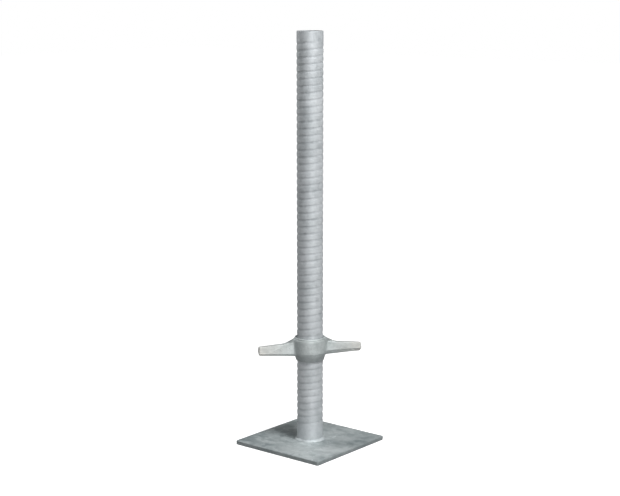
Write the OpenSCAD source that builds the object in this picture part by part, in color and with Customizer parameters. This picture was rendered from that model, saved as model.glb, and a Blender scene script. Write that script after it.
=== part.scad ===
// Adjustable base jack for a tubular scaffold: a threaded tubular spindle
// welded to a square base plate, with a two-armed wing nut that screws up and
// down it. The scaffold leg slips over the spindle and stands on the nut.
// +Z is up. The origin is the centre of the plate's underside. Millimetres.

/* [Base plate] */
// Side of the square base plate
plate_side = 155; // [120:1:200]
// Thickness of the base plate
plate_t = 6; // [5:0.5:10]
// Flat cut across each corner of the plate
plate_corner = 2; // [1:0.5:6]

/* [Spindle] */
// Outside diameter, over the thread's crests
spindle_d = 38; // [36:0.5:42]
// Length of the spindle above the plate
spindle_len = 594; // [400:1:800]
// Bore of the tube
bore_d = 29.5; // [26:0.5:31]
// Plain end at the top, a stop for the nut
land_len = 12; // [8:0.5:20]
// Least plain length at the bottom, for the weld
foot_len = 8; // [8:0.5:20]
// Chamfer at the top edge
end_chamfer = 1; // [0.5:0.1:1.5]

/* [Thread] */
// Pitch of the single-start right-hand thread
pitch = 10; // [8:0.5:12]
// Depth of the rounded groove
thread_depth = 1; // [1:0.1:2]
// Share of the pitch that is crest
crest_share = 0.42; // [0.3:0.01:0.56]
// Share of the pitch that is groove bottom
root_share = 0.12; // [0.12:0.01:0.3]
// Facets around one turn of the spindle's thread
facets = 20; // [16:2:24]
// Play between nut and spindle, on radius and on each flank
play = 0.4; // [0.35:0.05:0.5]

/* [Weld] */
// Leg of the fillet weld around the spindle's foot
weld_leg = 4; // [3:0.5:8]

/* [Wing nut] */
// Height of the nut's lower edge above the plate's top
nut_above_plate = 120; // [60:1:300]
// Diameter of the hub
hub_d = 48; // [46:0.5:54]
// Height of the hub, seat ring and all
hub_h = 34; // [30:1:40]
// Height of the tapered skirt under the hub
skirt_h = 12; // [8:1:14]
// Diameter of the skirt's lower edge
skirt_d = 41; // [40.5:0.5:45]
// Diameter of the seat ring on top of the hub
seat_d = 45.5; // [44:0.5:46]
// Thickness of the seat ring
seat_t = 2; // [1.5:0.1:3]
// Reach of each arm from the axis
arm_reach = 76.5; // [60:0.5:90]
// Height of an arm at the hub
arm_root_h = 19.5; // [12:0.5:20]
// Height of an arm at its tip
arm_tip_h = 13; // [8:0.5:14]
// Thickness of an arm at the hub
arm_root_t = 14; // [10:0.5:18]
// Thickness of an arm at its tip
arm_tip_t = 9.5; // [6:0.5:12]
// Height of an arm's top edge above the nut's lower edge, at the hub
arm_top = 26; // [22:0.5:26.5]
// Drop of an arm's top edge from hub to tip
arm_fall = 4; // [1:0.5:5]
// Direction of the arms, from +X towards +Y
arm_yaw = 51; // [0:1:180]

/* [Hidden] */
$fn = 96;
eps = 0.02;

z_plate = plate_t;
z_top = plate_t + spindle_len;
z_nut = plate_t + nut_above_plate;
z_seat = z_nut + hub_h;

// the thread's last groove ends at the land, and its first one above the foot
turns = floor((spindle_len - land_len - foot_len) / pitch) - 1;
thread_z0 = z_top - land_len - (turns + 1) * pitch;
r_crest = spindle_d / 2 - eps;
r_root = spindle_d / 2 - thread_depth;

// one pitch of the profile: [height share, groove depth share]
profile = [[0, 0], [crest_share, 0], [1 - (1 - crest_share - root_share) / 2 - root_share, 1],
           [1 - (1 - crest_share - root_share) / 2, 1]];
np = len(profile);

function ramp(t) = max(0, min(1, t));

// A screw of K turns that fades to a plain prism at both ends. za and zb are
// its flat ends, rc its crest radius, rr its groove radius, n its facets a turn.
// wide moves each flank outward along the axis.
module screw(K, n, z0, za, zb, rc, rr, wide, fade) {
    lead = [-wide, wide, wide, -wide];
    function zt(i, k, j) = z0 + pitch * (k + i / n + profile[j][0]) + lead[j];
    function fall(i, k) = fade <= 0 ? 1 : ramp((k + i / n) / fade) * ramp((K - k - i / n) / fade);
    function rt(i, k, j) = rc - (rc - rr) * profile[j][1] * fall(i, k);
    col = K * np;
    pts = concat(
        [for (i = [0 : n - 1]) for (k = [0 : K - 1]) for (j = [0 : np - 1])
            let (r = rt(i, k, j), a = 360 * i / n) [r * cos(a), r * sin(a), zt(i, k, j)]],
        [for (i = [0 : n - 1]) [rc * cos(360 * i / n), rc * sin(360 * i / n), za]],
        [for (i = [0 : n - 1]) [rc * cos(360 * i / n), rc * sin(360 * i / n), zb]]
    );
    bot = n * col;
    top = bot + n;
    // faces run clockwise seen from outside
    wall = [for (i = [0 : n - 2]) for (m = [0 : col - 2])
        let (a = i * col + m, b = (i + 1) * col + m)
        each [[a, b + 1, b], [a, a + 1, b + 1]]];
    seam = [for (m = [0 : col - np - 2])
        let (a = (n - 1) * col + m, b = np + m)
        each [[a, b + 1, b], [a, a + 1, b + 1]]];
    // the last column's top pitch meets the top ring, the first column's bottom pitch meets the bottom ring
    low = concat(
        [for (i = [0 : n - 2]) each [[bot + i, (i + 1) * col, bot + i + 1], [bot + i, i * col, (i + 1) * col]]],
        [[bot + n - 1, 0, bot], [bot + n - 1, (n - 1) * col, np]],
        [for (m = [0 : np - 1]) [bot + n - 1, m + 1, m]]);
    high = concat(
        [for (i = [0 : n - 2]) each [[(i + 1) * col - 1, top + i, top + i + 1], [(i + 1) * col - 1, top + i + 1, (i + 2) * col - 1]]],
        [[col - 1, top + n - 1, top]],
        [for (m = [col - np - 1 : col - 2]) [(n - 1) * col + m, (n - 1) * col + m + 1, col - 1]],
        [[n * col - 1, top + n - 1, col - 1]]);
    caps = [[for (i = [0 : n - 1]) bot + i], [for (i = [n - 1 : -1 : 0]) top + i]];
    polyhedron(points = pts, faces = concat(wall, seam, low, high, caps), convexity = 10);
}

module base_plate() {
    color([0.63, 0.66, 0.67])
        linear_extrude(plate_t) {
            s = plate_side / 2;
            c = plate_corner;
            polygon([[s, s - c], [s - c, s], [c - s, s], [-s, s - c],
                     [-s, c - s], [c - s, -s], [s - c, -s], [s, c - s]]);
        }
}

module base_weld() {
    color([0.72, 0.74, 0.75])
        rotate_extrude()
            polygon([[spindle_d / 2 + eps, z_plate],
                     [spindle_d / 2 + eps + weld_leg, z_plate],
                     [spindle_d / 2 + eps + weld_leg * 0.96, z_plate + weld_leg * 0.14],
                     [spindle_d / 2 + eps + weld_leg * 0.55, z_plate + weld_leg * 0.55],
                     [spindle_d / 2 + eps + weld_leg * 0.14, z_plate + weld_leg * 0.96],
                     [spindle_d / 2 + eps, z_plate + weld_leg]]);
}

module spindle() {
    color([0.76, 0.78, 0.79])
        difference() {
            union() {
                screw(turns, facets, thread_z0, z_plate + 4, z_top - 4, r_crest, r_root, 0, 0.25);
                translate([0, 0, z_plate])
                    cylinder(d = spindle_d, h = foot_len - 1);
                translate([0, 0, z_top - land_len])
                    cylinder(d = spindle_d, h = land_len - end_chamfer);
                translate([0, 0, z_top - end_chamfer])
                    cylinder(d1 = spindle_d, d2 = spindle_d - 2 * end_chamfer, h = end_chamfer);
            }
            translate([0, 0, z_plate - 1])
                cylinder(d = bore_d, h = spindle_len + 2);
        }
}

// One arm along +X, from inside the hub's wall to its tip
module arm() {
    root = hub_d / 2 - 3;
    tip_top = arm_top - arm_fall;
    tip_low = tip_top - arm_tip_h;
    web_end = hub_d / 2 + 14;
    web_low = arm_top - arm_fall * (web_end - root) / (arm_reach - 2 - root);
    intersection() {
        rotate([90, 0, 0])
            translate([0, 0, -arm_root_t])
                linear_extrude(2 * arm_root_t)
                    polygon([[root, arm_top - arm_root_h], [arm_reach - 2, tip_low],
                             [arm_reach, tip_low + 2], [arm_reach, tip_top - 2],
                             [arm_reach - 2, tip_top], [web_end, web_low],
                             [hub_d / 2 + 0.5, hub_h - seat_t - 1], [root, hub_h - seat_t - 1]]);
        linear_extrude(hub_h)
            polygon([[root, -arm_root_t / 2 - 2.5], [hub_d / 2 + 1, -arm_root_t / 2 - 1.5],
                     [hub_d / 2 + 6, -arm_root_t / 2],
                     [arm_reach - 2, -arm_tip_t / 2], [arm_reach, -arm_tip_t / 2 + 2],
                     [arm_reach, arm_tip_t / 2 - 2], [arm_reach - 2, arm_tip_t / 2],
                     [hub_d / 2 + 6, arm_root_t / 2],
                     [hub_d / 2 + 1, arm_root_t / 2 + 1.5], [root, arm_root_t / 2 + 2.5]]);
    }
}

module wing_nut() {
    // the cutter starts a whole number of pitches up the spindle's thread, so the two are in mesh
    below = floor((z_nut - thread_z0) / pitch) - 1;
    n_turns = ceil(hub_h / pitch) + 3;
    cz = thread_z0 + below * pitch;
    color([0.70, 0.73, 0.72])
        difference() {
            translate([0, 0, z_nut])
                union() {
                    rotate_extrude()
                        polygon([[0, 0], [skirt_d / 2, 0], [hub_d / 2 - 0.5, skirt_h - 1.5], [hub_d / 2, skirt_h],
                                 [hub_d / 2, hub_h - seat_t - 1.5],
                                 [hub_d / 2 - 1.25, hub_h - seat_t], [0, hub_h - seat_t]]);
                    rotate([0, 0, arm_yaw]) arm();
                    rotate([0, 0, arm_yaw + 180]) arm();
                }
            screw(n_turns, 36, cz, cz - pitch, cz + (n_turns + 2) * pitch, spindle_d / 2 + play, r_root + play, play, 0);
        }
}

module seat_ring() {
    color([0.70, 0.73, 0.72])
        translate([0, 0, z_seat - seat_t])
            difference() {
                rotate_extrude()
                    polygon([[0, 0], [seat_d / 2, 0], [seat_d / 2, seat_t - 0.8], [seat_d / 2 - 0.8, seat_t], [0, seat_t]]);
                translate([0, 0, -1]) cylinder(d = spindle_d + 2 * play + 0.4, h = seat_t + 2);
            }
}

base_plate();
base_weld();
spindle();
wing_nut();
seat_ring();
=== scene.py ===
"""Adjustable scaffold base jack: the looks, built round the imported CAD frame."""
import math

import bpy
import numpy as np
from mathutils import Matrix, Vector


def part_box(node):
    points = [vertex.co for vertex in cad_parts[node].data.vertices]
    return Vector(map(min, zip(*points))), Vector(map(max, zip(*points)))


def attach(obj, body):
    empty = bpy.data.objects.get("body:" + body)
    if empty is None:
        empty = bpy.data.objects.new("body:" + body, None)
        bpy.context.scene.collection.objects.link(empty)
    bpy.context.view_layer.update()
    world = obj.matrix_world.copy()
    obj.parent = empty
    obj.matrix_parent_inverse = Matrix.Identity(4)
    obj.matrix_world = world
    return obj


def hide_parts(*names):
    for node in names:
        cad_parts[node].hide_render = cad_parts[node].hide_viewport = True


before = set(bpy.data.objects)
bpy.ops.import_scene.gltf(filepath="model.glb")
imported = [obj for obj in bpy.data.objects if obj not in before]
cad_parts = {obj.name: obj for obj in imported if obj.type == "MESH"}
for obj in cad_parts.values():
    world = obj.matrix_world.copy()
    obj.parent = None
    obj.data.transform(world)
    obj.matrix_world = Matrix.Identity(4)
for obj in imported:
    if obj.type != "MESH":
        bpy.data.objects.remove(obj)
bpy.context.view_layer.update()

MM = 0.001


def corners(node):
    """A node's box in millimetres."""
    low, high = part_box(node)
    return [v / MM for v in low], [v / MM for v in high]


PLATE_LO, PLATE_HI = corners("base_plate")
SPIN_LO, SPIN_HI = corners("spindle")
NUT_LO, NUT_HI = corners("wing_nut")
RING_LO, RING_HI = corners("seat_ring")
WELD_LO, WELD_HI = corners("base_weld")

HALF = PLATE_HI[0]  # half the plate's side
Z_PLATE = PLATE_HI[2]
Z_TOP = SPIN_HI[2]
R_SPIN = SPIN_HI[0]
Z_NUT = NUT_LO[2]
Z_NUT_TOP = NUT_HI[2]
NUT_H = Z_NUT_TOP - Z_NUT
Z_SEAT = RING_HI[2]
R_RING = RING_HI[0]
R_RING_IN = 19.6

# the thread, as in the CAD
PITCH = 10.0
DEPTH = 1.0
TURNS = math.floor((Z_TOP - Z_PLATE - 12.0 - 8.0) / PITCH) - 1
THREAD_Z0 = Z_TOP - 12.0 - (TURNS + 1) * PITCH
R_BORE = 14.75
PLAY = 0.42
ARM_YAW = math.radians(51.0)
ARM_REACH = 76.5


# ---------------------------------------------------------------- numbers
def _hash(ix, iy, iz, seed):
    h = (ix.astype(np.int64) * 73856093) ^ (iy.astype(np.int64) * 19349663) ^ (iz.astype(np.int64) * 83492791)
    h = (h ^ (seed * 2654435761)) & 0xFFFFFFFF
    h = ((h ^ (h >> 15)) * 2246822519) & 0xFFFFFFFF
    h = ((h ^ (h >> 13)) * 3266489917) & 0xFFFFFFFF
    h = h ^ (h >> 16)
    return h.astype(np.float64) / 4294967295.0


def vnoise(x, y, z, size, seed=0):
    """Smooth noise from -1 to 1 with features of about size."""
    x, y, z = np.broadcast_arrays(
        np.asarray(x, float) / size, np.asarray(y, float) / size, np.asarray(z, float) / size
    )
    fx, fy, fz = np.floor(x), np.floor(y), np.floor(z)
    tx, ty, tz = x - fx, y - fy, z - fz
    tx, ty, tz = (t * t * t * (t * (t * 6 - 15) + 10) for t in (tx, ty, tz))
    ix, iy, iz = fx.astype(np.int64), fy.astype(np.int64), fz.astype(np.int64)
    out = 0.0
    for dx in (0, 1):
        wx = tx if dx else 1 - tx
        for dy in (0, 1):
            wy = ty if dy else 1 - ty
            for dz in (0, 1):
                wz = tz if dz else 1 - tz
                out = out + wx * wy * wz * _hash(ix + dx, iy + dy, iz + dz, seed)
    return out * 2 - 1


def fbm(x, y, z, size, seed=0, octaves=3, gain=0.5):
    total, amp, norm = 0.0, 1.0, 0.0
    for o in range(octaves):
        total = total + amp * vnoise(x, y, z, size / 2**o, seed + 17 * o)
        norm += amp
        amp *= gain
    return total / norm


def smooth01(t):
    t = np.clip(t, 0, 1)
    return t * t * (3 - 2 * t)


def smax(a, b, k):
    h = np.maximum(k - np.abs(a - b), 0) / k
    return np.maximum(a, b) + h * h * k * 0.25


def smin(a, b, k):
    h = np.maximum(k - np.abs(a - b), 0) / k
    return np.minimum(a, b) - h * h * k * 0.25


# the groove's depth over one pitch, from 0 on the crest to 1 in the groove, with rounded corners
_share = np.arange(4096) / 4096
_raw = np.interp(_share, [0, 0.50, 0.70, 0.80, 1.0], [0, 0, 1, 1, 0])
_sigma = 0.038
_gauss = np.exp(-0.5 * ((((_share + 0.5) % 1.0) - 0.5) / _sigma) ** 2)
GROOVE = np.real(np.fft.ifft(np.fft.fft(_raw) * np.fft.fft(_gauss / _gauss.sum())))
GROOVE = (GROOVE - GROOVE.min()) / (GROOVE.max() - GROOVE.min())


def groove(theta, z):
    """Depth share of the thread's groove at an angle and a height in millimetres."""
    t = (z - THREAD_Z0) / PITCH - (theta % (2 * math.pi)) / (2 * math.pi)
    k = np.floor(t)
    turn = k + (theta % (2 * math.pi)) / (2 * math.pi)
    fade = smooth01(turn / 0.25) * smooth01((TURNS - turn) / 0.25)
    idx = ((t - k) * 4096) % 4096
    i0 = np.floor(idx).astype(np.int64)
    f = idx - i0
    g = GROOVE[i0 % 4096] * (1 - f) + GROOVE[(i0 + 1) % 4096] * f
    return g * fade


# ---------------------------------------------------------------- meshes
def mesh_object(name, verts, faces, attrs=None, smooth=True, quads=True):
    """A mesh object from arrays in millimetres. faces is an (n, 3) or (n, 4) array, or a list of them."""
    verts = np.asarray(verts, float) * MM
    groups = faces if isinstance(faces, list) else [faces]
    me = bpy.data.meshes.new(name)
    me.vertices.add(len(verts))
    me.vertices.foreach_set("co", verts.ravel().astype(np.float32))
    loops = np.concatenate([np.asarray(g).ravel() for g in groups]).astype(np.int32)
    sizes = np.concatenate([np.full(len(g), np.asarray(g).shape[1]) for g in groups]).astype(np.int32)
    starts = np.concatenate([[0], np.cumsum(sizes)[:-1]]).astype(np.int32)
    me.loops.add(len(loops))
    me.loops.foreach_set("vertex_index", loops)
    me.polygons.add(len(sizes))
    me.polygons.foreach_set("loop_start", starts)
    me.polygons.foreach_set("loop_total", sizes)
    me.polygons.foreach_set("use_smooth", np.full(len(sizes), smooth))
    me.update(calc_edges=True)
    me.validate()
    for key, values in (attrs or {}).items():
        a = me.attributes.new(key, "FLOAT", "POINT")
        a.data.foreach_set("value", np.asarray(values, np.float32))
    ob = bpy.data.objects.new(name, me)
    bpy.context.scene.collection.objects.link(ob)
    return ob


def sharp_by_angle(ob, degrees):
    """Marks edges over that angle as sharp, so smooth shading stops at them."""
    me = ob.data
    me.set_sharp_from_angle(angle=math.radians(degrees))


def wrap_grid(nu, nv, wrap_v=True):
    """Quads of a grid with nu columns that closes on itself, and nv rows that close on themselves if wrap_v."""
    u = np.arange(nu)
    v = np.arange(nv if wrap_v else nv - 1)
    uu, vv = np.meshgrid(u, v, indexing="ij")
    u2, v2 = (uu + 1) % nu, (vv + 1) % nv
    return np.stack([uu * nv + vv, u2 * nv + vv, u2 * nv + v2, uu * nv + v2], -1).reshape(-1, 4)


def make_spindle():
    """The threaded tube: outside, rim, bore and foot in one closed skin."""
    n = 88
    theta = np.arange(n) * 2 * math.pi / n
    z_out = np.concatenate([
        np.linspace(Z_PLATE, THREAD_Z0, 8, endpoint=False),
        np.linspace(THREAD_Z0, Z_TOP - 12, 860, endpoint=False),
        np.linspace(Z_TOP - 12, Z_TOP - 1.0, 12),
    ])
    th, z = np.meshgrid(theta, z_out, indexing="ij")
    g = groove(th, z)
    x0, y0 = np.cos(th), np.sin(th)
    skin = 0.045 * fbm(x0 * R_SPIN, y0 * R_SPIN, z, 7.0, 3, 3) + 0.03 * vnoise(x0 * R_SPIN, y0 * R_SPIN, z, 1.6, 9)
    crest_dip = 0.05 + skin.clip(-0.045, 0.045)
    r = R_SPIN - crest_dip - (DEPTH - 0.15) * g
    # zinc gathers in the groove on the lower side of the tube's dip
    r = r + 0.10 * g * (0.5 + 0.5 * fbm(x0 * R_SPIN, y0 * R_SPIN, z, 14.0, 31, 2))
    cols = [(r, z, g, np.zeros_like(g))]
    # rim: rolled outer edge, sawn face, inner edge
    rim = [
        (R_SPIN - 0.22, Z_TOP - 0.62), (R_SPIN - 0.48, Z_TOP - 0.30), (R_SPIN - 0.85, Z_TOP - 0.08),
        (R_SPIN - 1.25, Z_TOP - 0.02), (R_SPIN - 2.1, Z_TOP - 0.03), (R_SPIN - 3.2, Z_TOP - 0.04),
        (R_BORE + 0.45, Z_TOP - 0.05), (R_BORE + 0.18, Z_TOP - 0.20), (R_BORE + 0.04, Z_TOP - 0.5),
    ]
    th1 = theta[:, None]
    for rr, zz in rim:
        wob = 0.05 * vnoise(np.cos(th1) * 19, np.sin(th1) * 19, zz, 5.0, 77)
        cols.append((np.full((n, 1), rr) + wob * 0.5, np.full((n, 1), zz) - np.abs(wob) * 0.6,
                     np.full((n, 1), 0.0), np.full((n, 1), 0.6)))
    # bore, with the tube's own seam inside it and the roll's faint ripple
    z_in = np.concatenate([
        np.linspace(Z_TOP - 1.0, Z_TOP - 60, 40, endpoint=False),
        np.linspace(Z_TOP - 60, Z_PLATE, 60),
    ])
    th2, z2 = np.meshgrid(theta, z_in, indexing="ij")
    seam = np.exp(-0.5 * (((th2 - 4.1 + math.pi) % (2 * math.pi) - math.pi) / 0.055) ** 2)
    ripple = 0.10 * groove(th2, z2 - 3.0)
    rb = R_BORE - 0.55 * seam * (0.8 + 0.2 * vnoise(z2, 0, 0, 6.0, 5)) + ripple + 0.04 * fbm(
        np.cos(th2) * 15, np.sin(th2) * 15, z2, 9.0, 41, 2)
    cols.append((rb, z2, np.full_like(z2, 0.35), np.full_like(z2, 1.0)))
    R = np.concatenate([c[0] for c in cols], 1)
    Z = np.concatenate([c[1] for c in cols], 1)
    G = np.concatenate([c[2] for c in cols], 1)
    I = np.concatenate([c[3] for c in cols], 1)
    nv = R.shape[1]
    T = np.broadcast_to(theta[:, None], R.shape)
    V = np.stack([R * np.cos(T), R * np.sin(T), Z], -1).reshape(-1, 3)
    F = wrap_grid(n, nv, True)
    wear = smooth01(0.5 + 0.9 * fbm(V[:, 0], V[:, 1], V[:, 2], 26.0, 61, 3)) * (1 - G.ravel()) ** 2
    ob = mesh_object("spindle_tube", V, F, {"groove": G.ravel(), "inside": I.ravel(), "wear": wear})
    sharp_by_angle(ob, 50)
    return ob


def make_plate():
    """The base plate: sheared edges with a rolled-over top, rounded corners, a lumpy top with a few dents."""
    h = HALF
    R = 2.6
    edge = [0.0, 0.45, 0.9, 1.35, 1.8, 2.2, 2.6, 3.6, 5.0, 6.6]
    a = np.array(edge)
    inner = np.linspace(-h + 8.2, h - 8.2, 91)
    t = np.concatenate([-h + a, inner, (h - a)[::-1]])
    n = len(t)

    def placed(half):
        """The grid's points for a plate of that half side, with round corners."""
        s = t * (half / h)
        X, Y = np.meshgrid(s, s, indexing="ij")
        c = half - R
        dx, dy = np.abs(X) - c, np.abs(Y) - c
        corner = (dx > 0) & (dy > 0)
        m = np.maximum(dx, dy)
        d = np.hypot(dx, dy) + 1e-12
        X = np.where(corner, np.sign(X) * (c + dx * m / d), X)
        Y = np.where(corner, np.sign(Y) * (c + dy * m / d), Y)
        return X, Y

    def border(half):
        X, Y = placed(half)
        order = [(i, 0) for i in range(n - 1)] + [(n - 1, j) for j in range(n - 1)] + [
            (i, n - 1) for i in range(n - 1, 0, -1)] + [(0, j) for j in range(n - 1, 0, -1)]
        ij = np.array(order)
        return np.stack([X[ij[:, 0], ij[:, 1]], Y[ij[:, 0], ij[:, 1]]], -1), ij

    # top
    roll = [(0.10, 5.25), (0.28, 5.60), (0.62, 5.84), (1.10, 5.94)]
    X, Y = placed(h - 1.7)
    rad = np.hypot(X, Y)
    lump = fbm(X, Y, 0.0, 26.0, 11, 3)
    fine = fbm(X, Y, 0.0, 6.0, 12, 2)
    ZT = Z_PLATE - 0.05 - 0.13 * (0.5 + 0.5 * lump) - 0.05 * (0.5 + 0.5 * fine)
    # a few drips and dents
    for cx, cy, w, d in ((-44, -31, 5.5, -0.13), (38, -52, 4.0, -0.12), (52, 30, 7.0, -0.15), (-20, 55, 5.0, -0.1),
                         (12, -60, 3.2, -0.13), (-60, 8, 4.2, -0.1), (60, -14, 3.0, -0.12)):
        ZT = ZT + d * np.exp(-((X - cx) ** 2 + (Y - cy) ** 2) / w**2)
    ZT = np.minimum(ZT, Z_PLATE - 0.005)
    verts = [np.stack([X, Y, ZT], -1).reshape(-1, 3)]
    idx = np.arange(n * n).reshape(n, n)
    faces = [np.stack([idx[:-1, :-1], idx[1:, :-1], idx[1:, 1:], idx[:-1, 1:]], -1).reshape(-1, 4)]
    kind = [np.zeros(n * n)]
    # bottom
    XB, YB = placed(h - 1.0)
    base = n * n
    ZB = np.zeros_like(XB) + 0.0
    verts.append(np.stack([XB, YB, ZB], -1).reshape(-1, 3))
    faces.append(np.stack([base + idx[:-1, :-1], base + idx[:-1, 1:], base + idx[1:, 1:], base + idx[1:, :-1]], -1).reshape(-1, 4))
    kind.append(np.full(n * n, 0.3))
    # sides, from the top down
    _, ij = border(h)
    m = len(ij)
    levels = roll[::-1] + [(0.03, 4.8), (0.0, 4.0), (0.03, 3.2), (0.10, 2.6), (0.16, 1.9), (0.14, 1.2), (0.12, 0.7), (0.22, 0.35), (0.5, 0.08)]
    prev = idx[ij[:, 0], ij[:, 1]]
    count = 2 * n * n
    for inset, zz in levels:
        P, _ = border(h - inset)
        jag = 0.10 * (0.5 + 0.5 * fbm(P[:, 0], P[:, 1], zz * 1.5, 5.0, 21, 3)) + 0.16 * (0.5 + 0.5 * fbm(P[:, 0], P[:, 1], zz * 0.4, 17.0, 23, 2))
        nrm = P / np.maximum(np.abs(P).max(1, keepdims=True), 1e-9)
        nrm = np.where(np.abs(nrm) > 0.985, np.sign(nrm), 0.0)
        ln = np.maximum(np.linalg.norm(nrm, axis=1, keepdims=True), 1e-9)
        keep = 0.0 if zz > 5.5 else 1.0
        P = P - nrm / ln * jag[:, None] * keep
        zj = zz + (0.06 * fbm(P[:, 0], P[:, 1], 3.0, 9.0, 24, 2) if 0.3 < zz < 5.0 else 0.0)
        if zz > 5.0:
            zj = np.minimum(zz - 0.10 * (0.5 + 0.5 * fbm(P[:, 0], P[:, 1], 0.0, 26.0, 11, 3)), Z_PLATE - 0.005)
        verts.append(np.stack([P[:, 0], P[:, 1], np.broadcast_to(zj, P[:, 0].shape)], -1))
        ring = count + np.arange(m)
        nxt, rn = np.roll(prev, -1), np.roll(ring, -1)
        faces.append(np.stack([prev, ring, rn, nxt], -1))
        kind.append(np.full(m, 1.0 if zz < 5.2 else 0.5))
        prev = ring
        count += m
    bot = base + idx[ij[:, 0], ij[:, 1]]
    faces.append(np.stack([prev, bot, np.roll(bot, -1), np.roll(prev, -1)], -1))
    V = np.concatenate(verts)
    ob = mesh_object("base_plate_steel", V, faces, {"rim": np.concatenate(kind)})
    sharp_by_angle(ob, 40)
    return ob


def make_weld():
    """The fillet weld: one lumpy bead of overlapping ripples round the foot, and a little spatter on the plate."""
    n, m = 420, 13
    th = np.arange(n) * 2 * math.pi / n
    s = np.linspace(0, 1, m)
    TH, S = np.meshgrid(th, s, indexing="ij")
    cx, cy = np.cos(TH) * 21, np.sin(TH) * 21
    leg_r = 3.55 + 0.38 * fbm(cx, cy, 0, 15, 51, 2)
    leg_z = 3.45 + 0.34 * fbm(cx, cy, 9, 13, 52, 2)
    # the run's start and stop lie over each other at the back
    stop = np.exp(-0.5 * (((TH - 2.3 + math.pi) % (2 * math.pi) - math.pi) / 0.10) ** 2)
    leg_r = leg_r + 0.35 * stop
    leg_z = leg_z + 0.25 * stop
    ang = S * math.pi / 2
    bulge = 1.0 - 0.20 * np.sin(2 * ang)
    count = 58
    wave = (TH * count / (2 * math.pi) + 0.55 * np.sin(math.pi * S) + 0.22 * fbm(cx, cy, 3, 8, 53, 2)) % 1.0
    ripple = (1 - wave) ** 1.3 * smooth01(wave / 0.18) * np.sin(math.pi * np.clip(S * 1.02, 0, 1)) ** 0.6
    grow = 0.24 * ripple + 0.05 * vnoise(cx, cy, S * 5, 1.3, 54)
    dr = (leg_r * np.cos(ang)) * bulge + grow * np.cos(ang)
    dz = (leg_z * np.sin(ang)) * bulge + grow * np.sin(ang)
    rr = R_SPIN - 0.25 + dr
    zz = Z_PLATE - 0.22 + dz
    # foot of the bead inside the plate and the tube, so that it closes
    R = np.concatenate([rr, np.full((n, 1), R_SPIN - 0.6), np.full((n, 1), R_SPIN - 0.6), np.full((n, 1), R_SPIN + 1.0)], 1)
    Z = np.concatenate([zz, zz[:, -1:] - 0.5, np.full((n, 1), Z_PLATE - 0.4), np.full((n, 1), Z_PLATE - 0.4)], 1)
    nv = R.shape[1]
    T = np.broadcast_to(th[:, None], R.shape)
    V = np.stack([R * np.cos(T), R * np.sin(T), Z], -1).reshape(-1, 3)
    F = wrap_grid(n, nv, True)
    rip = np.concatenate([ripple, np.zeros((n, 3))], 1).ravel()
    verts, faces, vals = [V], [F], [rip]
    # spatter: low round beads, each a closed cap
    rng = np.random.default_rng(7)
    base = len(V)
    k, rings = 10, 4
    for _ in range(34):
        ang0 = rng.uniform(0, 2 * math.pi)
        dist = 24.5 + abs(rng.normal(0, 9))
        size = rng.uniform(0.35, 0.95)
        x0, y0 = dist * math.cos(ang0), dist * math.sin(ang0)
        pts = [[x0, y0, Z_PLATE - 0.35]]
        for q in range(rings):
            a = q / rings * math.pi / 2
            for j in range(k):
                b = 2 * math.pi * j / k
                pts.append([x0 + size * math.cos(a) * math.cos(b), y0 + size * math.cos(a) * math.sin(b),
                            Z_PLATE - 0.18 + 0.62 * size * math.sin(a)])
        pts.append([x0, y0, Z_PLATE - 0.18 + 0.62 * size])
        tri, quad = [], []
        for j in range(k):
            j2 = (j + 1) % k
            tri.append([base, base + 1 + j2, base + 1 + j])
            for q in range(rings - 1):
                o = base + 1 + q * k
                quad.append([o + j, o + j2, o + k + j2, o + k + j])
            o = base + 1 + (rings - 1) * k
            tri.append([o + j, o + j2, base + 1 + rings * k])
        verts.append(np.array(pts))
        faces += [np.array(tri), np.array(quad)]
        vals.append(np.full(len(pts), 0.6))
        base += len(pts)
    ob = mesh_object("weld_bead", np.concatenate(verts), faces, {"ripple": np.concatenate(vals)})
    return ob


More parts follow.
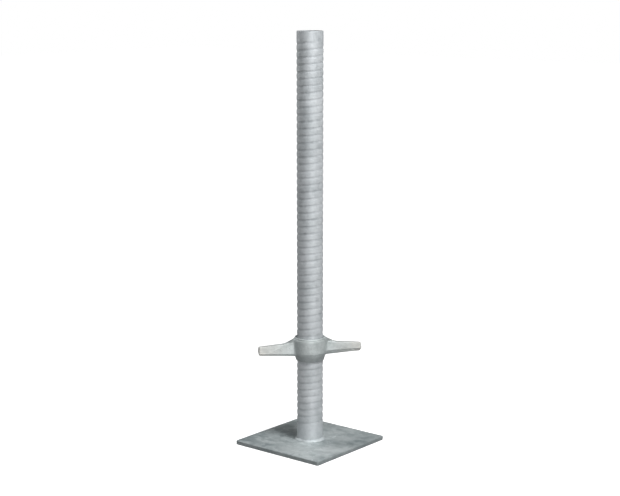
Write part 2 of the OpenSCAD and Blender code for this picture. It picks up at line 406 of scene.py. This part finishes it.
def surface_nets(field, origin, step):
    """The zero surface of a field sampled on a grid, as quads, inside negative."""
    nx, ny, nz = field.shape
    inside = field < 0
    cell = np.zeros((nx - 1, ny - 1, nz - 1), np.int8)
    for dx in (0, 1):
        for dy in (0, 1):
            for dz in (0, 1):
                cell += inside[dx:nx - 1 + dx, dy:ny - 1 + dy, dz:nz - 1 + dz]
    active = (cell > 0) & (cell < 8)
    ids = np.full(active.shape, -1, np.int64)
    at = np.argwhere(active)
    ids[active] = np.arange(len(at))
    acc = np.zeros((len(at), 3))
    cnt = np.zeros(len(at))
    cs = [(0, 0, 0), (1, 0, 0), (0, 1, 0), (1, 1, 0), (0, 0, 1), (1, 0, 1), (0, 1, 1), (1, 1, 1)]
    vals = [field[at[:, 0] + c[0], at[:, 1] + c[1], at[:, 2] + c[2]] for c in cs]
    for i in range(8):
        for j in range(i + 1, 8):
            if sum(abs(cs[i][q] - cs[j][q]) for q in range(3)) != 1:
                continue
            a, b = vals[i], vals[j]
            hit = (a < 0) != (b < 0)
            t = np.where(hit, a / np.where(hit, a - b, 1.0), 0.0)
            p = np.array(cs[i]) + t[:, None] * (np.array(cs[j]) - np.array(cs[i]))
            acc += p * hit[:, None]
            cnt += hit
    V = (at + acc / cnt[:, None]) * step + np.asarray(origin)
    quads = []
    for axis in range(3):
        sl_a = [slice(None)] * 3
        sl_b = [slice(None)] * 3
        sl_a[axis] = slice(0, -1)
        sl_b[axis] = slice(1, None)
        a, b = inside[tuple(sl_a)], inside[tuple(sl_b)]
        o1, o2 = [q for q in range(3) if q != axis]
        e = np.argwhere(a != b)
        ok = (e[:, o1] > 0) & (e[:, o2] > 0) & (e[:, o1] < field.shape[o1] - 1) & (e[:, o2] < field.shape[o2] - 1)
        e = e[ok]
        flip = a[tuple(e.T)]
        d1, d2 = np.zeros(3, int), np.zeros(3, int)
        d1[o1], d2[o2] = 1, 1
        c = [ids[tuple((e - d1 - d2).T)], ids[tuple((e - d2).T)], ids[tuple(e.T)], ids[tuple((e - d1).T)]]
        q = np.stack(c, -1)
        if axis == 1:
            flip = ~flip
        q = np.where(flip[:, None], q, q[:, ::-1])
        quads.append(q)
    return V, np.concatenate(quads)


def make_nut():
    """The cast wing nut: hub, two drafted arms, webs and the internal thread in one skin."""
    step = 0.5
    pad = 1.2
    x = np.arange(-ARM_REACH - pad, ARM_REACH + pad, step)
    y = np.arange(-24 - pad - 0.6, 24 + pad + 0.6, step)
    z = np.arange(-pad, NUT_H + pad, step)
    X, Y, Z = np.meshgrid(x, y, z, indexing="ij")
    R = np.hypot(X, Y)
    A = np.abs(X)

    # hub: a drum that turns in like a bowl towards its foot
    prof_z = np.array([-3, 0, 10.2, 11.6, 13.0, 29.0, 30.6, NUT_H, NUT_H + 3])
    prof_r = np.array([20.45, 20.5, 23.15, 23.85, 24.0, 24.0, 23.75, 22.95, 22.9])
    zz = np.linspace(-3, NUT_H + 3, 400)
    rr = np.interp(zz, prof_z, prof_r)
    kern = np.hanning(15)
    rr = np.convolve(np.pad(rr, 7, mode="edge"), kern / kern.sum(), mode="valid")
    wall = (R - np.interp(Z, zz, rr)) * 0.985
    hub = smax(wall, np.maximum(-Z, Z - (NUT_H - 0.03)), 0.6)

    # arms: top, bottom, draft faces above and below the parting line, round tip
    u = np.clip((A - 24) / (ARM_REACH - 24), 0, 1)
    top = 26.0 - 4.0 * u
    low = 6.5 + 2.6 * u ** 0.9
    # the parting line steps: it sits higher on one flank of each arm
    part = low + (top - low) * (0.19 + 0.05 * u + 0.08 * (1 - np.tanh(X * Y / 40)))
    half = 6.9 - 2.1 * u
    up_draft, low_draft = math.radians(8), math.radians(33)
    side_up = (np.abs(Y) - half) * math.cos(up_draft) + (Z - part) * math.sin(up_draft)
    side_low = (np.abs(Y) - half) * math.cos(low_draft) - (Z - part) * math.sin(low_draft)
    tip = A - ARM_REACH + 0.006 * (np.abs(Y) ** 2.2) + 0.05 * np.maximum(Z - part, 0) + 0.35 * np.maximum(part - Z, 0)
    arm = smax(side_up, side_low, 0.5)
    arm = smax(arm, Z - top, 1.0)
    arm = smax(arm, low - Z, 1.1)
    arm = smax(arm, tip, 1.9)
    arm = np.maximum(arm, 12 - A)
    # the web from the hub's shoulder down to the arm's top
    slope = math.radians(27)
    web = smax(np.abs(Y) - 4.8 + 0.14 * np.maximum(Z - 20, 0),
                     (A - 38.0) * math.sin(slope) + (Z - 24.8) * math.cos(slope), 1.2)
    web = np.maximum(np.maximum(web, 12 - A), 10 - Z)
    body = smin(hub, smin(arm, web, 1.6), 2.8)
    body = np.maximum(body, Z - (NUT_H - 0.03))
    body = np.maximum(body, -Z + 0.02)

    # the thread in the bore, in mesh with the spindle at rest
    TH = np.arctan2(Y, X) + ARM_YAW
    near = R < 24
    rb = np.zeros_like(R)
    rb[near] = R_SPIN + PLAY - DEPTH * groove(TH[near], Z[near] + Z_NUT)
    # lead-in at both mouths
    mouth = np.maximum(0, 0.9 - Z) * 0.6 + np.maximum(0, Z - (NUT_H - 1.0)) * 0.6
    rb = np.maximum(rb, np.where(near, np.minimum(R_SPIN + PLAY + mouth, 19.75), 0))
    rb = np.where(near, np.maximum(rb, R_SPIN + PLAY - DEPTH), 0)
    bore = np.where(near, (rb - R) * 0.9, -50)
    body = np.maximum(body, bore)

    V, F = surface_nets(body, (x[0], y[0], z[0]), step)
    # distance from the axis and along the arms, for the masks below
    r = np.hypot(V[:, 0], V[:, 1])
    a = np.abs(V[:, 0])
    # cast skin: pits and lumps, none in the bore or on the top face
    me_n = np.zeros_like(V)
    p = V[F]
    fn = np.cross(p[:, 2] - p[:, 0], p[:, 3] - p[:, 1])
    for q in range(4):
        np.add.at(me_n, F[:, q], fn)
    me_n /= np.maximum(np.linalg.norm(me_n, axis=1, keepdims=True), 1e-9)
    cast = smooth01((r - 19.9) / 1.4) * smooth01((NUT_H - 0.25 - V[:, 2]) / 1.2) * smooth01((V[:, 2] - 0.1) / 0.8)
    lumps = 0.10 * fbm(V[:, 0], V[:, 1], V[:, 2], 4.2, 81, 3) + 0.16 * fbm(V[:, 0], V[:, 1], V[:, 2], 17.0, 82, 2) - 0.16
    # fine flash along the parting line of the arms
    uu = np.clip((a - 24) / (ARM_REACH - 24), 0, 1)
    lo = 6.5 + 2.6 * uu ** 0.9
    pl = lo + (26.0 - 4.0 * uu - lo) * (0.19 + 0.05 * uu + 0.08 * (1 - np.tanh(V[:, 0] * V[:, 1] / 40)))
    flash = np.exp(-0.5 * ((V[:, 2] - pl) / 0.42) ** 2) * smooth01((a - 26) / 5)
    flash = flash * (0.20 + 0.10 * vnoise(V[:, 0], V[:, 1], 0, 9.0, 83)) * (np.abs(me_n[:, 2]) < 0.9)
    V = V + me_n * (cast * (lumps + flash))[:, None]
    c, s = math.cos(ARM_YAW), math.sin(ARM_YAW)
    W = np.stack([V[:, 0] * c - V[:, 1] * s, V[:, 0] * s + V[:, 1] * c, V[:, 2] + Z_NUT], -1)
    # where handling has rubbed it: more towards the arm tips, in patches
    up = np.clip(me_n[:, 2], 0, 1)
    worn = smooth01((a - 50) / 26) * 0.7 + 0.3
    worn = worn * smooth01(0.5 + 0.8 * fbm(V[:, 0], V[:, 1], V[:, 2], 9.0, 84, 3))
    # painted shade: the nut's bore darker inside
    bore_shade = smooth01((21.0 - r) / 1.0)
    # painted shade: darker in the crook where the web meets the hub's shoulder
    web_shade = np.exp(-0.5 * (((a - 28.5) / 4.0) ** 2 + ((V[:, 2] - 28.5) / 2.8) ** 2)) * smooth01((r - 24.2) / 1.2)
    # painted shade on the skirt under the hub, darker towards its foot
    skirt = smooth01((13.0 - V[:, 2]) / 7.0) * smooth01((27.0 - a) / 3.0)
    ob = mesh_object("wing_nut_casting", W, F, {"worn": worn, "bore_shade": bore_shade, "reach": a / ARM_REACH, "up": up,
                                               "skirt": skirt, "web_shade": web_shade})
    return ob


def make_ring():
    """The seat on top of the nut, faced flat, with its edges broken."""
    n = 160
    zb, zt = Z_NUT_TOP + 0.0, Z_SEAT
    prof = [
        (R_RING_IN, zb + 0.03), (R_RING_IN + 1.4, zb + 0.01), (R_RING - 0.35, zb + 0.01), (R_RING - 0.08, zb + 0.10),
        (R_RING, zb + 0.40), (R_RING - 0.02, zb + 0.80), (R_RING - 0.12, zb + 1.20), (R_RING - 0.36, zb + 1.56),
        (R_RING - 0.70, zt - 0.14), (R_RING - 1.05, zt - 0.02), (R_RING - 1.6, zt), (R_RING - 2.3, zt - 0.005),
        (R_RING_IN + 0.55, zt), (R_RING_IN + 0.25, zt - 0.06), (R_RING_IN + 0.06, zt - 0.28), (R_RING_IN, zt - 0.7),
    ]
    th = np.arange(n) * 2 * math.pi / n
    P = np.array(prof)
    T, K = np.meshgrid(th, np.arange(len(P)), indexing="ij")
    r, z = P[K, 0], P[K, 1]
    outer = ((K >= 3) & (K <= 9)).astype(float)
    r = r - outer * (0.05 + 0.05 * fbm(np.cos(T) * 23, np.sin(T) * 23, z, 5.0, 91, 3))
    V = np.stack([r * np.cos(T), r * np.sin(T), z], -1).reshape(-1, 3)
    F = wrap_grid(n, len(P), True)
    faced = ((K >= 9) & (K <= 13)).astype(float).ravel()
    ob = mesh_object("nut_seat_ring", V, F, {"worn": faced, "bore_shade": np.zeros(len(V)), "reach": np.full(len(V), 0.3),
                                            "up": np.zeros(len(V)), "skirt": np.zeros(len(V)), "web_shade": np.zeros(len(V))})
    sharp_by_angle(ob, 40)
    return ob


def outward(ob):
    """Turns every closed shell of a mesh to face outward."""
    import bmesh
    bm = bmesh.new()
    bm.from_mesh(ob.data)
    bmesh.ops.recalc_face_normals(bm, faces=bm.faces)
    bm.to_mesh(ob.data)
    bm.free()


# ---------------------------------------------------------------- materials
class Nodes:
    def __init__(self, name):
        self.mat = bpy.data.materials.new(name)
        self.mat.use_nodes = True
        self.t = self.mat.node_tree
        self.t.nodes.clear()
        self.out = self.t.nodes.new("ShaderNodeOutputMaterial")
        self.bsdf = self.t.nodes.new("ShaderNodeBsdfPrincipled")
        self.t.links.new(self.bsdf.outputs[0], self.out.inputs[0])
        self.co = self.t.nodes.new("ShaderNodeTexCoord").outputs["Object"]

    def link(self, a, b):
        self.t.links.new(a, b)

    def math(self, op, a, b=None, c=None, clamp=False):
        n = self.t.nodes.new("ShaderNodeMath")
        n.operation = op
        n.use_clamp = clamp
        for i, v in enumerate((a, b, c)):
            if v is None:
                continue
            if isinstance(v, (int, float)):
                n.inputs[i].default_value = v
            else:
                self.link(v, n.inputs[i])
        return n.outputs[0]

    def noise(self, scale, detail=3, rough=0.55, co=None, distortion=0.0):
        n = self.t.nodes.new("ShaderNodeTexNoise")
        n.inputs["Scale"].default_value = scale
        n.inputs["Detail"].default_value = detail
        n.inputs["Roughness"].default_value = rough
        n.inputs["Distortion"].default_value = distortion
        self.link(co or self.co, n.inputs["Vector"])
        return n

    def warp(self, scale, amount):
        """The object's coordinates, pushed about by noise."""
        n = self.noise(scale, 2)
        v = self.t.nodes.new("ShaderNodeVectorMath")
        v.operation = "MULTIPLY_ADD"
        v.inputs[1].default_value = (amount, amount, amount)
        self.link(n.outputs["Color"], v.inputs[0])
        self.link(self.co, v.inputs[2])
        return v.outputs[0]

    def stretch(self, factors, co=None):
        m = self.t.nodes.new("ShaderNodeMapping")
        m.inputs["Scale"].default_value = factors
        self.link(co or self.co, m.inputs["Vector"])
        return m.outputs[0]

    def voronoi(self, scale, co=None, feature="F1", rand=1.0):
        n = self.t.nodes.new("ShaderNodeTexVoronoi")
        n.feature = feature
        n.inputs["Scale"].default_value = scale
        n.inputs["Randomness"].default_value = rand
        self.link(co or self.co, n.inputs["Vector"])
        return n

    def attr(self, name):
        n = self.t.nodes.new("ShaderNodeAttribute")
        n.attribute_name = name
        return n.outputs["Fac"]

    def ramp(self, fac, stops):
        n = self.t.nodes.new("ShaderNodeValToRGB")
        el = n.color_ramp.elements
        while len(el) > 1:
            el.remove(el[-1])
        el[0].position = stops[0][0]
        el[0].color = (*stops[0][1], 1)
        for p, c in stops[1:]:
            e = el.new(p)
            e.color = (*c, 1)
        self.link(fac, n.inputs["Fac"])
        return n.outputs["Color"]

    def mix(self, fac, a, b, mode="MIX"):
        n = self.t.nodes.new("ShaderNodeMix")
        n.data_type = "RGBA"
        n.blend_type = mode
        if isinstance(fac, (int, float)):
            n.inputs[0].default_value = fac
        else:
            self.link(fac, n.inputs[0])
        for i, v in ((6, a), (7, b)):
            if isinstance(v, tuple):
                n.inputs[i].default_value = (*v, 1)
            else:
                self.link(v, n.inputs[i])
        return n.outputs[2]

    def lerp(self, fac, lo, hi):
        n = self.t.nodes.new("ShaderNodeMapRange")
        n.inputs["From Min"].default_value = 0
        n.inputs["From Max"].default_value = 1
        n.inputs["To Min"].default_value = lo
        n.inputs["To Max"].default_value = hi
        self.link(fac, n.inputs["Value"])
        return n.outputs[0]

    def bump(self, height, strength, distance, normal=None):
        n = self.t.nodes.new("ShaderNodeBump")
        n.inputs["Strength"].default_value = strength
        n.inputs["Distance"].default_value = distance
        self.link(height, n.inputs["Height"])
        if normal is not None:
            self.link(normal, n.inputs["Normal"])
        return n.outputs[0]


def srgb(r, g, b):
    def f(v):
        v = v / 255
        return v / 12.92 if v <= 0.04045 else ((v + 0.055) / 1.055) ** 2.4
    return (f(r), f(g), f(b))


def zinc(name, dark, mid, light, metallic, rough, mottle=24.0, spangle=150.0, spangle_mix=0.22, grain=700.0):
    """Hot-dip zinc: cloudy patches, a faint spangle with ragged borders, a fine grain. Returns
    the tree, its colour, its roughness factor and its height, for the caller to finish."""
    m = Nodes(name)
    cloud = m.noise(mottle, 5, 0.62, m.warp(18, 0.02)).outputs["Fac"]
    crystals = m.voronoi(spangle, m.warp(220, 0.006))
    sep = m.t.nodes.new("ShaderNodeSeparateColor")
    m.link(crystals.outputs["Color"], sep.inputs[0])
    crystal = sep.outputs[0]
    fine = m.noise(grain, 4, 0.6).outputs["Fac"]
    body = m.math("MULTIPLY_ADD", m.math("SUBTRACT", cloud, 0.5), 1.55, 0.5)
    body = m.math("MULTIPLY_ADD", m.math("SUBTRACT", crystal, 0.5), spangle_mix, body)
    body = m.math("MULTIPLY_ADD", m.math("SUBTRACT", fine, 0.5), 0.35, body, clamp=True)
    colour = m.ramp(body, [(0.12, dark), (0.5, mid), (0.88, light)])
    rough_f = m.math("MULTIPLY_ADD", m.math("SUBTRACT", crystal, 0.5), 0.45, cloud, clamp=True)
    m.bsdf.inputs["Metallic"].default_value = metallic
    m.rough_lo, m.rough_hi = rough
    height = m.math("MULTIPLY_ADD", fine, 0.5, m.math("MULTIPLY", crystal, 0.5))
    m.cloud, m.crystal, m.fine = cloud, crystal, fine
    return m, colour, rough_f, height


def mat_plate():
    m, col, rf, h = zinc("galvanised_plate", srgb(136, 147, 150), srgb(176, 184, 185), srgb(205, 211, 212),
                         0.30, (0.42, 0.62), mottle=20.0, spangle=110.0, spangle_mix=0.30, grain=520.0)
    # dull streaks where the zinc ran off, and dirt in the low spots
    runs = m.noise(60, 4, 0.6, m.stretch((0.35, 1.0, 1.0), m.warp(30, 0.012))).outputs["Fac"]
    dirt = m.ramp(runs, [(0.34, (0.60, 0.63, 0.64)), (0.47, (0.88, 0.90, 0.90)), (0.58, (1, 1, 1))])
    col = m.mix(0.75, col, dirt, "MULTIPLY")
    # painted shade: the plate darker towards one corner, broken up by the cloud noise
    sep = m.t.nodes.new("ShaderNodeSeparateXYZ")
    m.link(m.co, sep.inputs[0])
    corner_shade = m.math("MULTIPLY_ADD", sep.outputs[0], 7.7, m.math("MULTIPLY", sep.outputs[1], 6.3))
    corner_shade = m.math("MULTIPLY_ADD", m.math("SUBTRACT", m.cloud, 0.5), 1.3, corner_shade)
    col = m.mix(m.lerp(corner_shade, 0.0, 0.30), col, srgb(112, 122, 124))
    rim = m.attr("rim")
    edge_n = m.noise(140, 4, 0.6).outputs["Fac"]
    edge_d = m.math("MULTIPLY", rim, m.lerp(edge_n, 0.15, 1.0), clamp=True)
    col = m.mix(edge_d, col, m.mix(edge_n, srgb(84, 90, 91), srgb(150, 158, 160)))
    specks = m.voronoi(330, m.warp(300, 0.003)).outputs["Distance"]
    white = m.ramp(specks, [(0.05, (1, 1, 1)), (0.12, (0, 0, 0))])
    col = m.mix(m.math("MULTIPLY", white, 0.35), col, srgb(206, 211, 211))
    m.link(col, m.bsdf.inputs["Base Color"])
    m.link(m.lerp(rf, m.rough_lo, m.rough_hi), m.bsdf.inputs["Roughness"])
    n = m.bump(h, 0.35, 0.0006)
    n = m.bump(m.noise(90, 3).outputs["Fac"], 0.30, 0.0012, n)
    m.link(n, m.bsdf.inputs["Normal"])
    return m.mat


def mat_tube():
    m, col, rf, h = zinc("galvanised_tube", srgb(172, 178, 181), srgb(195, 200, 203), srgb(211, 215, 218),
                         0.35, (0.54, 0.68), mottle=30.0, spangle=170.0, spangle_mix=0.22, grain=800.0)
    g = m.attr("groove")
    wear = m.attr("wear")
    inside = m.attr("inside")
    # grease and dust in the groove, patchy round the tube
    patch = m.noise(42, 4, 0.62, m.stretch((1, 1, 0.45))).outputs["Fac"]
    dust = m.math("MULTIPLY", m.math("POWER", g, 1.6), m.lerp(patch, 0.15, 0.95), clamp=True)
    col = m.mix(m.math("MULTIPLY", dust, 0.12), col, srgb(120, 125, 127))
    # crests rubbed bright by the nut
    col = m.mix(m.math("MULTIPLY", wear, 0.30), col, srgb(222, 227, 229))
    streak = m.noise(26, 4, 0.6, m.stretch((1.0, 1.0, 0.10))).outputs["Fac"]
    col = m.mix(0.45, col, m.ramp(streak, [(0.32, (0.80, 0.81, 0.82)), (0.55, (1, 1, 1))]), "MULTIPLY")
    # painted shade: the tube's bore darkened inside; the rim rows, marked 0.6, take a smaller share of the same dark
    col = m.mix(m.math("MULTIPLY", inside, 0.65), col, srgb(96, 101, 103))
    m.link(col, m.bsdf.inputs["Base Color"])
    r = m.lerp(rf, m.rough_lo, m.rough_hi)
    r = m.math("MULTIPLY_ADD", dust, 0.16, r)
    r = m.math("MULTIPLY_ADD", wear, -0.08, r, clamp=True)
    m.link(r, m.bsdf.inputs["Roughness"])
    # the zinc lies thick in the thread and rounds it over, so it shades softer than it is cut
    flat = m.t.nodes.new("ShaderNodeVectorMath")
    flat.operation = "MULTIPLY"
    flat.inputs[1].default_value = (1, 1, 0)
    m.link(m.co, flat.inputs[0])
    unit = m.t.nodes.new("ShaderNodeVectorMath")
    unit.operation = "NORMALIZE"
    m.link(flat.outputs[0], unit.inputs[0])
    world_n = m.t.nodes.new("ShaderNodeVectorTransform")
    world_n.vector_type = "NORMAL"
    world_n.convert_from = "OBJECT"
    world_n.convert_to = "WORLD"
    m.link(unit.outputs[0], world_n.inputs[0])
    geo = m.t.nodes.new("ShaderNodeNewGeometry")
    soft = m.t.nodes.new("ShaderNodeMix")
    soft.data_type = "VECTOR"
    turned = m.math("MULTIPLY", m.math("SUBTRACT", 1.0, m.math("GREATER_THAN", inside, 0.3)), 0.62)
    m.link(turned, soft.inputs[0])
    m.link(geo.outputs["Normal"], soft.inputs[4])
    m.link(world_n.outputs[0], soft.inputs[5])
    base = m.t.nodes.new("ShaderNodeVectorMath")
    base.operation = "NORMALIZE"
    m.link(soft.outputs[1], base.inputs[0])
    n = m.bump(h, 0.22, 0.0004, base.outputs[0])
    n = m.bump(m.noise(180, 3).outputs["Fac"], 0.22, 0.0006, n)
    m.link(n, m.bsdf.inputs["Normal"])
    return m.mat


def mat_weld():
    m, col, rf, h = zinc("galvanised_weld", srgb(170, 178, 180), srgb(204, 211, 213), srgb(222, 227, 229),
                         0.35, (0.52, 0.68), mottle=70.0, spangle=260.0, spangle_mix=0.2, grain=900.0)
    rip = m.attr("ripple")
    col = m.mix(m.math("MULTIPLY", m.math("SUBTRACT", 1.0, rip), 0.35), col, srgb(120, 127, 129))
    m.link(col, m.bsdf.inputs["Base Color"])
    m.link(m.lerp(rf, m.rough_lo, m.rough_hi), m.bsdf.inputs["Roughness"])
    m.link(m.bump(h, 0.3, 0.0004), m.bsdf.inputs["Normal"])
    return m.mat


def mat_cast():
    m, col, rf, h = zinc("galvanised_casting", srgb(156, 163, 163), srgb(186, 193, 193), srgb(206, 212, 212),
                         0.35, (0.46, 0.66), mottle=34.0, spangle=210.0, spangle_mix=0.16, grain=560.0)
    worn = m.attr("worn")
    bore_shade = m.attr("bore_shade")
    reach = m.attr("reach")
    pits = m.voronoi(420, m.warp(400, 0.002)).outputs["Distance"]
    pit = m.ramp(pits, [(0.10, (1, 1, 1)), (0.30, (0, 0, 0))])
    keep = m.noise(120, 3).outputs["Fac"]
    pit = m.math("MULTIPLY", pit, m.math("GREATER_THAN", keep, 0.52))
    col = m.mix(m.math("MULTIPLY", pit, 0.45), col, srgb(110, 116, 115))
    # the arms are handled, so their zinc is rubbed to a warmer, brighter grey towards the tips
    rubbed = m.math("MULTIPLY", m.math("MULTIPLY_ADD", reach, 1.6, -0.5, clamp=True), m.lerp(worn, 0.55, 0.95))
    col = m.mix(rubbed, col, srgb(208, 206, 201))
    # painted shade: the skirt under the hub darker, most towards its foot
    skirt = m.attr("skirt")
    col = m.mix(m.math("MULTIPLY", skirt, 0.45), col, srgb(126, 131, 134))
    # painted shade in the crook between web and hub
    col = m.mix(m.math("MULTIPLY", m.attr("web_shade"), 0.7), col, srgb(98, 103, 103))
    grime = m.noise(55, 4, 0.6).outputs["Fac"]
    col = m.mix(0.5, col, m.ramp(grime, [(0.34, (0.74, 0.76, 0.75)), (0.55, (1, 1, 1))]), "MULTIPLY")
    # painted shade inside the bore
    col = m.mix(m.math("MULTIPLY", bore_shade, 0.6), col, srgb(90, 94, 94))
    m.link(col, m.bsdf.inputs["Base Color"])
    r = m.math("MULTIPLY_ADD", worn, -0.08, m.lerp(rf, m.rough_lo, m.rough_hi), clamp=True)
    m.link(r, m.bsdf.inputs["Roughness"])
    hh = m.math("MULTIPLY_ADD", pit, -0.8, h)
    n = m.bump(hh, 0.45, 0.0004)
    n = m.bump(m.noise(300, 4).outputs["Fac"], 0.35, 0.0007, n)
    m.link(n, m.bsdf.inputs["Normal"])
    return m.mat


# ---------------------------------------------------------------- the object
MATS = {"plate": mat_plate(), "tube": mat_tube(), "weld": mat_weld(), "cast": mat_cast()}

for make, mat, node, body, slot in (
    (make_plate, "plate", "base_plate", "jack", "galvanised_plate"),
    (make_spindle, "tube", "spindle", "jack", "galvanised_tube"),
    (make_weld, "weld", "base_weld", "jack", "galvanised_weld"),
    (make_nut, "cast", "wing_nut", "nut", "galvanised_casting"),
    (make_ring, "cast", "seat_ring", "nut_carriage", "galvanised_casting"),
):
    piece = make()
    outward(piece)
    piece.data.materials.append(MATS[mat])
    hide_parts(node)
    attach(piece, body)


# ---------------------------------------------------------------- stage, light, camera
def floor():
    me = bpy.data.meshes.new("floor")
    s = 9.0
    me.from_pydata([(-s, -s, -0.0003), (s, -s, -0.0003), (s, s, -0.0003), (-s, s, -0.0003)], [], [(0, 1, 2, 3)])
    ob = bpy.data.objects.new("floor", me)
    bpy.context.scene.collection.objects.link(ob)
    mat = bpy.data.materials.new("floor")
    mat.use_nodes = True
    t = mat.node_tree
    t.nodes.clear()
    out = t.nodes.new("ShaderNodeOutputMaterial")
    add = t.nodes.new("ShaderNodeAddShader")
    dif = t.nodes.new("ShaderNodeBsdfDiffuse")
    dif.inputs["Color"].default_value = (FLOOR_GREY, FLOOR_GREY, FLOOR_GREY, 1)
    glow = t.nodes.new("ShaderNodeEmission")
    seen = t.nodes.new("ShaderNodeLightPath")
    lift = t.nodes.new("ShaderNodeMath")
    lift.operation = "MULTIPLY"
    lift.inputs[1].default_value = FLOOR_LIFT
    t.links.new(seen.outputs["Is Camera Ray"], lift.inputs[0])
    t.links.new(lift.outputs[0], glow.inputs["Strength"])
    t.links.new(dif.outputs[0], add.inputs[0])
    t.links.new(glow.outputs[0], add.inputs[1])
    t.links.new(add.outputs[0], out.inputs[0])
    ob.data.materials.append(mat)


AZ = math.radians(39.30)  # the camera stands this far round from -Y towards +X
TARGET = Vector((0, 0, 0.26))
FLOOR_GREY = 0.36
FLOOR_LIFT = 0.98
floor()


def area(name, azimuth, elevation, distance, size, power, colour=(1, 1, 1), target=TARGET):
    """A soft light. azimuth is to the right of the camera's own, in degrees."""
    a = AZ + math.radians(azimuth)
    e = math.radians(elevation)
    d = Vector((math.sin(a) * math.cos(e), -math.cos(a) * math.cos(e), math.sin(e)))
    data = bpy.data.lights.new(name, "AREA")
    data.shape = "RECTANGLE"
    data.size, data.size_y = size
    data.energy = power
    data.color = colour
    ob = bpy.data.objects.new(name, data)
    bpy.context.scene.collection.objects.link(ob)
    ob.location = target + d * distance
    ob.rotation_euler = (-d).to_track_quat("-Z", "Y").to_euler()
    return ob


area("key", 42, 60, 2.2, (0.55, 0.55), 46)
area("front", 16, 10, 2.4, (0.6, 1.5), 21)
area("rim", -122, 20, 2.3, (0.7, 1.5), 12)
FILL = (0.19, 0.21)

world = bpy.data.worlds.new("studio")
bpy.context.scene.world = world
world.use_nodes = True
wt = world.node_tree
wt.nodes.clear()
w_out = wt.nodes.new("ShaderNodeOutputWorld")
w_mix = wt.nodes.new("ShaderNodeMixShader")
w_ray = wt.nodes.new("ShaderNodeLightPath")
w_white = wt.nodes.new("ShaderNodeBackground")
w_white.inputs["Color"].default_value = (1, 1, 1, 1)
w_white.inputs["Strength"].default_value = 1.0
w_fill = wt.nodes.new("ShaderNodeBackground")
w_co = wt.nodes.new("ShaderNodeTexCoord")
w_dot = wt.nodes.new("ShaderNodeVectorMath")
w_dot.operation = "DOT_PRODUCT"
side = AZ + math.radians(80)  # the brighter side of the room
w_dot.inputs[1].default_value = (math.sin(side), -math.cos(side), 0.25)
w_map = wt.nodes.new("ShaderNodeMapRange")
w_map.interpolation_type = "SMOOTHSTEP"
w_map.inputs["From Min"].default_value = -0.9
w_map.inputs["From Max"].default_value = 0.9
w_map.inputs["To Min"].default_value = FILL[0]
w_map.inputs["To Max"].default_value = FILL[1]
wt.links.new(w_co.outputs["Generated"], w_dot.inputs[0])
wt.links.new(w_dot.outputs["Value"], w_map.inputs["Value"])
wt.links.new(w_map.outputs[0], w_fill.inputs["Strength"])
wt.links.new(w_ray.outputs["Is Camera Ray"], w_mix.inputs[0])
wt.links.new(w_fill.outputs[0], w_mix.inputs[1])
wt.links.new(w_white.outputs[0], w_mix.inputs[2])
wt.links.new(w_mix.outputs[0], w_out.inputs[0])

cam = bpy.data.cameras.new("camera")
cam.sensor_fit = "HORIZONTAL"
cam.sensor_width = 36.0
cam.lens = 1453 / 620 * 36.0
cam.clip_end = 60
eye = bpy.data.objects.new("camera", cam)
bpy.context.scene.collection.objects.link(eye)
eye.location = (2.054 * math.sin(AZ), -2.054 * math.cos(AZ), 0.665 + Z_PLATE * MM)
eye.rotation_euler = (math.radians(90 - 10.49), 0, AZ)
bpy.context.scene.camera = eye
bpy.context.scene.view_settings.view_transform = "Standard"
